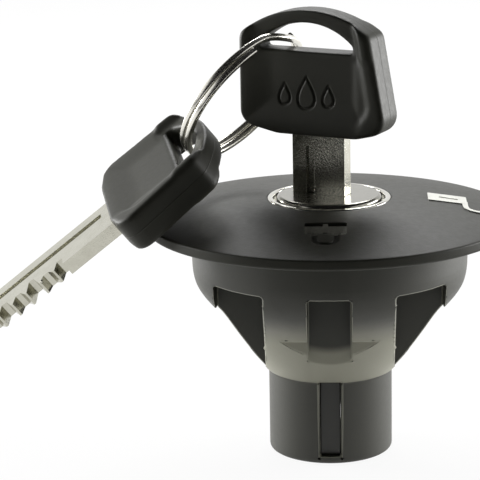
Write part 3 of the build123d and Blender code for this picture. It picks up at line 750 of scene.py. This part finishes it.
# %% Basket
corners = [(NOSE_BORE_R, 0, 0.2), (NOSE_R, 0, 0.8), (NOSE_R, NOSE_H, 0.5)]
corners += [(r, z, 0) for r, z in cut_corners(BOWL, 2) + [
    (CUP_R, CUP_TOP_Z), (CAVITY_R, CUP_TOP_Z), (CAVITY_R, CAVITY_FLOOR_Z), (WELL_OUTER_R, CAVITY_FLOOR_Z),
    (WELL_OUTER_R, WELL_TOP_Z), (WELL_R, WELL_TOP_Z), (WELL_R, SNAP_GROOVE_Z1),
    (WELL_R + SNAP_GROOVE_DEPTH, SNAP_GROOVE_Z1), (WELL_R + SNAP_GROOVE_DEPTH, SNAP_GROOVE_Z0),
    (WELL_R, SNAP_GROOVE_Z0), (WELL_R, WELL_FLOOR_Z), (SHAFT_HOLE_R, WELL_FLOOR_Z),
    (SHAFT_HOLE_R, NOSE_ROOF_Z), (NOSE_BORE_R, NOSE_ROOF_Z)]]
basket = lathe("basket_shell", soften_corners(corners))
cutters = []
for side in (1, -1):
    near, far = span(FRONT_POCKET_FLOOR_Y, CUT_REACH, side)
    pocket = rectangle(-FRONT_POCKET_HALF, FRONT_POCKET_HALF, FRONT_POCKET_FOOT_Z, POCKET_TOP_Z,
                       POCKET_CORNER_R)
    cutters.append(prism("front_pocket", pocket, along_y, near, far))
    near, far = span(WEB_HALF, CUT_REACH, side)
    notch = [(y * side, NOTCH_LINE_Z + slope * (y - NOTCH_LINE_Y))
             for y, slope in ((NOTCH_Y, NOTCH_UP), (CUT_REACH, NOTCH_UP),
                              (CUT_REACH, NOTCH_DOWN), (NOTCH_Y, NOTCH_DOWN))]
    for hand in (1, -1):
        left, right = span(SIDE_POCKET_X0, SIDE_POCKET_X1, hand)
        pocket = rectangle(left, right, SIDE_POCKET_FOOT_Z, POCKET_TOP_Z, POCKET_CORNER_R)
        cutters.append(prism("side_pocket", pocket, along_y, near, far))
        cutters.append(prism("finger_notch", notch, along_x, *span(NOTCH_X0, NOTCH_X1, hand)))
    groove = rectangle(-GROOVE_HALF, GROOVE_HALF, *span(GROOVE_Y0, GROOVE_Y1, side))
    cutters.append(prism("groove", groove, along_z, GROOVE_Z0, GROOVE_Z1))
    flare = [(-GROOVE_HALF, FLARE_Y0 * side), (GROOVE_HALF, FLARE_Y0 * side),
             (FLARE_HALF, FLARE_Y1 * side), (-FLARE_HALF, FLARE_Y1 * side)]
    cutters.append(prism("groove_flare", flare, along_z, GROOVE_Z0, NOSE_H))
lug_groove = [(u * cos(LUG_TURN) - v * sin(LUG_TURN), u * sin(LUG_TURN) + v * cos(LUG_TURN))
              for u, v in rectangle(9.0, 11.0, -1.1, 1.1)]
cutters.append(prism("lug_groove", lug_groove, along_z, WELL_FLOOR_Z, CASE_SEAT_Z))
combine(basket, cutters)
tidy_mesh(basket, 0.05)
round_edges(basket, 0.28, angle=28.0, clamp=False)
dress(basket, "basket_plastic", "housing", "cap_plastic", "basket")

# %% [markdown]
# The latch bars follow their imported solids, but fill their grooves a little closer, so that no
# light shows beside them.

# %% Latch bars
BAR_HALF, BAR_FOOT_Z, BAR_ROUND = 1.79, 1.55, 0.15
CHAMFER, CLOSE = 1.5, 0.05
for node in ("latch_front", "latch_back"):
    bar = merged_copy(node + "_bar", node)
    foot_z = min(vertex.co.z for vertex in bar.data.vertices)
    half = max(vertex.co.x for vertex in bar.data.vertices)
    reach = max(abs(vertex.co.y) for vertex in bar.data.vertices)
    for vertex in bar.data.vertices:
        if abs(vertex.co.x) > half - CLOSE * MM:
            vertex.co.x *= BAR_HALF * MM / half
        if vertex.co.z < foot_z + CLOSE * MM:
            vertex.co.z = BAR_FOOT_Z * MM
            if abs(vertex.co.y) > reach - CHAMFER * MM:
                vertex.co.y *= reach / abs(vertex.co.y)
    round_edges(bar, BAR_ROUND, segments=2)
    dress(bar, "latch_plastic", node, "latch_plastic", node)

# %% [markdown]
# ## Cover with its two signs
#
# The cover is a thin dome. Towards the front it has a sunk padlock with its shackle shut, and
# to the right a raised one with its shackle open. Both follow the dome's height.

# %% Cover and helpers for its signs
COUNTERBORE_R, DOME_TOP_Z, DOME_MIDDLE = 11.2, 47.1, (22.25, 46.1)
RIM_R, RIM_TOP_Z = 33.3, 43.9
SEAL_R0, SEAL_R1, SEAL_ROOF_Z = 27.0, 31.6, 43.2
SKIRT_R0, SKIRT_R1, SKIRT_FOOT_Z = 21.8, 23.15, 38.5
ABOVE_ALL_Z = 50.0
dome = arc_through((COUNTERBORE_R, DOME_TOP_Z), DOME_MIDDLE, (RIM_R, RIM_TOP_Z), 40)
corners = [(*dome[0], 0.12)] + [(r, z, 0) for r, z in dome[1:-1]]
corners += [(RIM_R, RIM_TOP_Z, 0.4), (RIM_R, CUP_TOP_Z, 0.6), (SEAL_R1, CUP_TOP_Z, 0.1),
            (SEAL_R1, SEAL_ROOF_Z, 0), (SEAL_R0, SEAL_ROOF_Z, 0), (SEAL_R0, CUP_TOP_Z, 0.1),
            (SKIRT_R1, CUP_TOP_Z, 0.1), (SKIRT_R1, SKIRT_FOOT_Z, 0.3), (SKIRT_R0, SKIRT_FOOT_Z, 0.2),
            (SKIRT_R0, WELL_TOP_Z, 0), (WELL_R, WELL_TOP_Z, 0), (WELL_R, CASE_SEAT_Z, 0),
            (COUNTERBORE_R, CASE_SEAT_Z, 0)]
cover = lathe("cover_shell", soften_corners(corners), segments=256)


def on_dome(lift):
    """Height of a level that lies this far above the dome, at any x and y."""
    def level(x, y):
        r = hypot(x, y)
        for (r0, z0), (r1, z1) in zip(dome, dome[1:]):
            if r0 <= r <= r1:
                return z0 + (z1 - z0) * (r - r0) / (r1 - r0) + lift
        return RIM_TOP_Z + lift
    return level


def band(path, width):
    """The outline of a band of equal width along an open path."""
    left, right = [], []
    for i, here in enumerate(path):
        before, after = path[max(i - 1, 0)], path[min(i + 1, len(path) - 1)]
        along = Vector((after[0] - before[0], after[1] - before[1])).normalized()
        left.append((here[0] - along.y * width / 2, here[1] + along.x * width / 2))
        right.append((here[0] + along.y * width / 2, here[1] - along.x * width / 2))
    return left + right[::-1]


def shackle_path(x0, x1, y0, y1, bend, steps=6):
    """A U-shaped path, from (x0, y0) down to y1 and back up at x1."""
    first = [(x0 + bend - bend * cos(pi / 2 * k / steps), y1 + bend - bend * sin(pi / 2 * k / steps))
             for k in range(steps + 1)]
    second = [(x1 - bend + bend * sin(pi / 2 * k / steps), y1 + bend - bend * cos(pi / 2 * k / steps))
              for k in range(steps + 1)]
    return [(x0, y0)] + first + second + [(x1, y0)]


# %% Sunk sign cut into the cover
SUNK = 0.35
SHUT_BODY, SHUT_FLOOR = (-4.25, 3.15, -22.9, -17.7), (-4.2, 3.1, -22.85, -17.75)
SHUT_BAR, SHUT_SHACKLE, SHACKLE_W = (-1.0, -0.1, -22.3, -18.2), (-2.5, 1.3, -22.5, -27.0, 1.5), 1.0
shackle = band(shackle_path(*SHUT_SHACKLE), SHACKLE_W)
combine(cover, [prism("sunk_body", rectangle(*SHUT_BODY, 0.3), along_z, on_dome(-SUNK), ABOVE_ALL_Z),
                prism("sunk_shackle", shackle, along_z, on_dome(-SUNK), ABOVE_ALL_Z),
                prism("lug_notch", lug_groove, along_z, 43.0, 44.7)])
tidy_mesh(cover, 0.004)
round_edges(cover, 0.07, segments=2, angle=40.0)
dress(cover, "cover_plastic", "housing", "cap_plastic", "cover")

# %% [markdown]
# The sunk padlock has a glossier floor with an upright bar. The raised one is silver, with a
# slot in its body and a shackle that leaves it at one side.

# %% Signs
BURIED = 0.2
shut_floor = prism("shut_lock_floor", rectangle(*SHUT_FLOOR, 0.3), along_z,
                   on_dome(-SUNK - BURIED), on_dome(-SUNK + 0.03))
shut_bar = prism("shut_lock_bar", rectangle(*SHUT_BAR, 0.1), along_z,
                 on_dome(-SUNK - BURIED), on_dome(-0.05))
combine(shut_floor, [shut_bar], "UNION")
smooth_by_angle(shut_floor)
dress(shut_floor, "sign_floor", "housing", "cap_plastic")

RAISED = 0.22
OPEN_BODY, OPEN_SLOT, OPEN_SLOT_W = (17.8, 24.8, -1.6, 3.9), [(19.8, 1.4), (23.2, 1.0)], 0.8
OPEN_SHACKLE = [(24.4, 0.0), (24.4, -3.4), (24.6, -4.6), (25.4, -5.4), (26.6, -5.7), (27.8, -5.4),
                (28.5, -4.5), (28.7, -3.4), (28.7, -1.8)]
open_body = prism("open_lock", rectangle(*OPEN_BODY, 0.3), along_z, on_dome(-BURIED), on_dome(RAISED))
slot = prism("open_lock_slot", band(OPEN_SLOT, OPEN_SLOT_W), along_z, on_dome(0.02), ABOVE_ALL_Z)
combine(open_body, [slot])
shackle = prism("open_shackle", band(OPEN_SHACKLE, SHACKLE_W), along_z, on_dome(-BURIED), on_dome(RAISED))
combine(open_body, [shackle], "UNION")
round_edges(open_body, 0.06, segments=2)
dress(open_body, "sign_silver", "housing", "cap_plastic")

# %% [markdown]
# ## Lock face
#
# The face of the plug is a rolled steel skin, and the ring round it is plated. Both are
# polished enough to mirror the blade.

# %% Lock face
BEZEL_R0, BEZEL_R1, BEZEL_FOOT_Z, BEZEL_TOP_Z, BEZEL_ROUND = 10.1, 11.15, 45.5, 47.25, 0.35
bezel_outline = soften_corners([(BEZEL_R0, BEZEL_FOOT_Z, 0), (BEZEL_R1, BEZEL_FOOT_Z, 0),
                                (BEZEL_R1, BEZEL_TOP_Z, BEZEL_ROUND), (BEZEL_R0, BEZEL_TOP_Z, BEZEL_ROUND)])
bezel = lathe("lock_bezel", bezel_outline, segments=160)
smooth_by_angle(bezel)
dress(bezel, "bright_steel", "housing", "bright_steel", "bezel_ring")
face = merged_copy("lock_face", "plug_face")
round_edges(face, 0.10)
dress(face, "face_steel", "plug", "bright_steel", "plug_face")

# %% [markdown]
# ## Keys
#
# The two keys share one moulding. The head is rubbery, so its solid is rebuilt as a fine even
# skin and relaxed, which rounds every edge the way a soft moulding is round. Three drops are
# pressed into the first head. A point value keeps each point's distance from the mould's
# parting plane, and the finish draws a faint seam there.

# %% Where the keys stand
def key_place(seat, width_axis, length_axis):
    """Matrix from a key's own axes: width, thickness and length."""
    length = Vector(length_axis).normalized()
    width = Vector(width_axis)
    width = (width - length * width.dot(length)).normalized()
    axes = Matrix((width, length.cross(width), length)).transposed().to_4x4()
    return Matrix.Translation(Vector(seat) * MM) @ axes


TURN, BLADE_SHIFT, KEY_SEAT_Z = radians(-25), -1.45, 59.7
SPARE_SEAT = (-37.15, -6.62, 45.99)
SPARE_WIDTH, SPARE_LENGTH = (0.191, -0.973, -0.133), (0.783, 0.070, 0.618)
KEY_PLACES = {
    "key": key_place((BLADE_SHIFT * cos(TURN), BLADE_SHIFT * sin(TURN), KEY_SEAT_Z),
                     (cos(TURN), sin(TURN), 0), (0, 0, 1)),
    "spare": key_place(SPARE_SEAT, SPARE_WIDTH, SPARE_LENGTH),
}


def drop_outline(x, z, size, stretch=1.25, sharpness=1.3, steps=40):
    """A drop with its tip up: a round belly that narrows to a point."""
    return [Vector((x + size * sin(a) * sin(a / 2) ** sharpness, z + size * stretch * cos(a)))
            for a in (2 * pi * k / steps for k in range(steps))]


def distance_to_loop(point, loop):
    """Distance from a point to a closed line."""
    gaps = []
    for before, after in zip([loop[-1]] + loop, loop):
        side = after - before
        along = max(0.0, min(1.0, (point - before).dot(side) / max(side.length_squared, 1e-9)))
        gaps.append((point - before - side * along).length)
    return min(gaps)


# %% Heads
VOXELS, FIRST_RELAX, LAST_RELAX = {"key": 0.16, "spare": 0.2}, 10, 30
# Half the thickness of the panel, of the border and of the core, which isn't changed.
PANEL_HALF, EDGE_HALF, CORE_HALF = 2.5, 3.25, 2.0
# The panel rises to the border over these lengths: at the left, the foot and the right.
LEFT_X, LEFT_RUN, FOOT_RUN, RIGHT_X, RIGHT_RUN = -14.8, 7.0, 6.0, 7.0, 3.0
# The change fades out below the slot, and past HOLD_X a share of it is held back.
SLOT_Z, SLOT_RUN, HOLD_X, HOLD_RUN, HOLD_SHARE = 13.6, 1.6, 7.6, 2.2, 0.45
FACING_LEAST = 0.4
STROKE, STROKE_DEPTH = 0.34, 0.28
PICTOGRAM = [drop_outline(-1.7, 6.6, 2.3), drop_outline(-6.0, 6.2, 1.5), drop_outline(2.6, 6.2, 1.5)]
PICTOGRAM_X, PICTOGRAM_Z, FRONT_SKIN_Y = (-8.5, 5.2), (3.2, 10.4), -1.5


def even_skin(piece, voxel, iterations):
    """Rebuild a piece as an even skin and relax it."""
    skin = piece.modifiers.new("even skin", "REMESH")
    skin.mode = "VOXEL"
    skin.voxel_size = voxel * MM
    relax = piece.modifiers.new("relax", "SMOOTH")
    relax.factor = 0.5
    relax.iterations = iterations
    return settle(piece)


def eased(value):
    """A smooth step from 0 to 1."""
    value = min(1.0, max(0.0, value))
    return value * value * (3 - 2 * value)


def shallow_panel(piece, place):
    """Let the panel rise gently to the left edge and the foot, where the border is no step."""
    back = place.inverted()
    thickness_axis = place.to_3x3() @ Vector((0, 1, 0))
    facings = [abs(vertex.normal.dot(thickness_axis)) for vertex in piece.data.vertices]
    for vertex, facing in zip(piece.data.vertices, facings):
        own = back @ vertex.co / MM
        share = (1 - HOLD_SHARE * eased((own.x - HOLD_X) / HOLD_RUN)) * eased((SLOT_Z - own.z) / SLOT_RUN)
        if abs(own.y) < CORE_HALF or share == 0.0:
            continue
        rise = max(eased(1 - (own.x - LEFT_X) / LEFT_RUN), eased(1 - own.z / FOOT_RUN),
                   eased((own.x - RIGHT_X) / RIGHT_RUN))
        level = PANEL_HALF + (EDGE_HALF - PANEL_HALF) * rise
        wanted = level if facing > FACING_LEAST else min(abs(own.y), level)
        own.y += share * (wanted - abs(own.y)) * (1 if own.y > 0 else -1)
        vertex.co = place @ (own * MM)


def press_drops(piece, place):
    """Press the drops' outlines into the front of a head, as a round-bottomed line."""
    back = place.inverted()
    inward = place.to_3x3() @ Vector((0, 1, 0))
    for vertex in piece.data.vertices:
        own = back @ vertex.co / MM
        inside = PICTOGRAM_X[0] < own.x < PICTOGRAM_X[1] and PICTOGRAM_Z[0] < own.z < PICTOGRAM_Z[1]
        if own.y > FRONT_SKIN_Y or not inside:
            continue
        gap = min(distance_to_loop(Vector((own.x, own.z)), loop) for loop in PICTOGRAM)
        if gap < STROKE:
            vertex.co += inward * STROKE_DEPTH * MM * (0.5 + 0.5 * cos(pi * gap / STROKE))


for body, node in (("key", "key_head"), ("spare", "spare_head")):
    head = merged_copy(node + "_moulded", node)
    place = KEY_PLACES[body]
    even_skin(head, VOXELS[body], FIRST_RELAX)
    shallow_panel(head, place)
    even_skin(head, VOXELS[body], LAST_RELAX)
    if body == "key":
        press_drops(head, place)
    head.data.shade_smooth()
    seam = head.data.attributes.new("from_parting_plane", "FLOAT", "POINT")
    back = place.inverted()
    seam.data.foreach_set("value", [(back @ v.co).y / MM for v in head.data.vertices])
    dress(head, "key_rubber", body, "key_rubber", node)

# %% [markdown]
# The blades are plated. The first cut lies just inside the lock's face, so the visible part of
# the blade is plain down to the face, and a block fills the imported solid's first cut there.

# %% Blades
BLADE_HALF, PLAIN_EDGE = 1.35, (0.5, 5.15, -13.0, -7.0)
for body, node in (("key", "key_blade"), ("spare", "spare_blade")):
    blade = merged_copy(node + "_cut", node)
    plain_edge = prism("plain_edge", rectangle(*PLAIN_EDGE), along_y, -BLADE_HALF, BLADE_HALF)
    plain_edge.data.transform(KEY_PLACES[body])
    combine(blade, [plain_edge], "UNION")
    tidy_mesh(blade, 0.004)
    round_edges(blade, 0.12, segments=2)
    dress(blade, "key_steel", body, "key_steel", node)

# %% [markdown]
# ## Split ring
#
# Two turns of flat wire with a jog between them. Geometry Nodes draws the path from one
# parameter, so that the radius, the wire and the jog can all be changed by name.

# %% Geometry Nodes: sprung wire
def sprung_wire_tree():
    """Two turns of rounded flat wire, joined by a jog, as a node tree with named inputs."""
    tree = bpy.data.node_groups.new("sprung wire", "GeometryNodeTree")
    node, link = tree.nodes.new, tree.links.new
    tree.interface.new_socket("Geometry", in_out="OUTPUT", socket_type="NodeSocketGeometry")
    float_inputs(tree, [("Ring radius", 0.0137), ("Wire width", 0.00115), ("Wire height", 0.00115),
                        ("Turn pitch", 0.00125), ("Wire round", 0.0003), ("Start", 0.47),
                        ("Sweep", 11.6), ("Jog at", 0.5), ("Jog share", 0.045)])
    steps = tree.interface.new_socket("Steps", in_out="INPUT", socket_type="NodeSocketInt")
    steps.default_value = 360
    tree.interface.new_socket("Finish", in_out="INPUT", socket_type="NodeSocketMaterial")
    given = node("NodeGroupInput").outputs

    def calc(operation, first, second=None):
        return math_node(tree, operation, first, second)

    line = node("GeometryNodeCurvePrimitiveLine")
    resample = node("GeometryNodeResampleCurve")
    link(line.outputs["Curve"], resample.inputs["Curve"])
    link(given["Steps"], resample.inputs["Count"])
    factor = node("GeometryNodeSplineParameter").outputs["Factor"]
    angle = calc("ADD", calc("MULTIPLY", factor, given["Sweep"]), given["Start"])
    across = soft_step(tree, factor, calc("SUBTRACT", given["Jog at"], given["Jog share"]),
                       calc("ADD", given["Jog at"], given["Jog share"]), 0.5, -0.5)
    place = node("ShaderNodeCombineXYZ")
    link(calc("MULTIPLY", calc("COSINE", angle), given["Ring radius"]), place.inputs["X"])
    link(calc("MULTIPLY", calc("SINE", angle), given["Ring radius"]), place.inputs["Y"])
    link(calc("MULTIPLY", across, given["Turn pitch"]), place.inputs["Z"])
    bent = node("GeometryNodeSetPosition")
    link(resample.outputs["Curve"], bent.inputs["Geometry"])
    link(place.outputs["Vector"], bent.inputs["Position"])
    upright = node("GeometryNodeSetCurveNormal")
    upright.mode = "Z_UP"
    link(bent.outputs["Geometry"], upright.inputs["Curve"])
    section = node("GeometryNodeCurvePrimitiveQuadrilateral")
    link(given["Wire width"], section.inputs["Width"])
    link(given["Wire height"], section.inputs["Height"])
    soft = node("GeometryNodeFilletCurve")
    soft.mode = "POLY"
    soft.inputs["Count"].default_value = 4
    link(given["Wire round"], soft.inputs["Radius"])
    link(section.outputs["Curve"], soft.inputs["Curve"])
    sweep = node("GeometryNodeCurveToMesh")
    sweep.inputs["Fill Caps"].default_value = True
    link(upright.outputs["Curve"], sweep.inputs["Curve"])
    link(soft.outputs["Curve"], sweep.inputs["Profile Curve"])
    real = node("GeometryNodeRealizeInstances")
    link(sweep.outputs["Mesh"], real.inputs["Geometry"])
    painted = node("GeometryNodeSetMaterial")
    link(real.outputs["Geometry"], painted.inputs["Geometry"])
    link(given["Finish"], painted.inputs["Material"])
    link(painted.outputs["Geometry"], node("NodeGroupOutput").inputs["Geometry"])
    return tree


def run_tree(piece, tree, **values):
    """Give a piece a node tree with these inputs, then keep the result as plain mesh."""
    modifier = piece.modifiers.new(tree.name, "NODES")
    modifier.node_group = tree
    for socket in tree.interface.items_tree:
        wanted = socket.name.replace(" ", "_")
        if socket.in_out == "INPUT" and wanted in values:
            modifier[socket.identifier] = values[wanted]
    return settle(piece)


# %% Split ring
RING_R, WIRE, TURN_PITCH, WIRE_ROUND = 13.7 * MM, 1.15 * MM, 1.25 * MM, 0.34 * MM
JOG_DEG, END_DEG = 30.0, 12.0
RING_CENTRE, RING_AXIS = Vector((-15.57, 4.39, 64.96)) * MM, Vector((0.690, -0.455, -0.563)).normalized()
arc = 360 - JOG_DEG - END_DEG
sweep_deg = 2 * arc + JOG_DEG
ring = add_piece("sprung_ring", bpy.data.meshes.new("sprung_ring"))
run_tree(ring, sprung_wire_tree(), Ring_radius=RING_R, Wire_width=WIRE, Wire_height=WIRE,
         Turn_pitch=TURN_PITCH, Wire_round=WIRE_ROUND, Start=radians(JOG_DEG / 2 - arc - JOG_DEG),
         Sweep=radians(sweep_deg), Jog_at=0.5, Jog_share=JOG_DEG / 2 / sweep_deg,
         Steps=360, Finish=FINISHES["ring_steel"])
up = Vector((0, 0, 1))
ring_x = (up - RING_AXIS * RING_AXIS.dot(up)).normalized()
ring_axes = Matrix((ring_x, RING_AXIS.cross(ring_x), RING_AXIS)).transposed().to_4x4()
ring.data.transform(Matrix.Translation(RING_CENTRE) @ ring_axes)
smooth_by_angle(ring)
dress(ring, "ring_steel", "ring", "bright_steel", "split_ring")

# %% [markdown]
# ## Inner parts
#
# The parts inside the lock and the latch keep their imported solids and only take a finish.

# %% Inner parts
inner = []
for subpart in frame["record"]["subparts"]:
    packed = frame["nodes"][subpart["node"]]
    if not packed.hide_render:
        packed.data.materials.clear()
        packed.data.materials.append(FINISHES.get(subpart["material_slot"], FINISHES["basket_plastic"]))
        inner.append(subpart["node"])
print("inner parts:", inner)
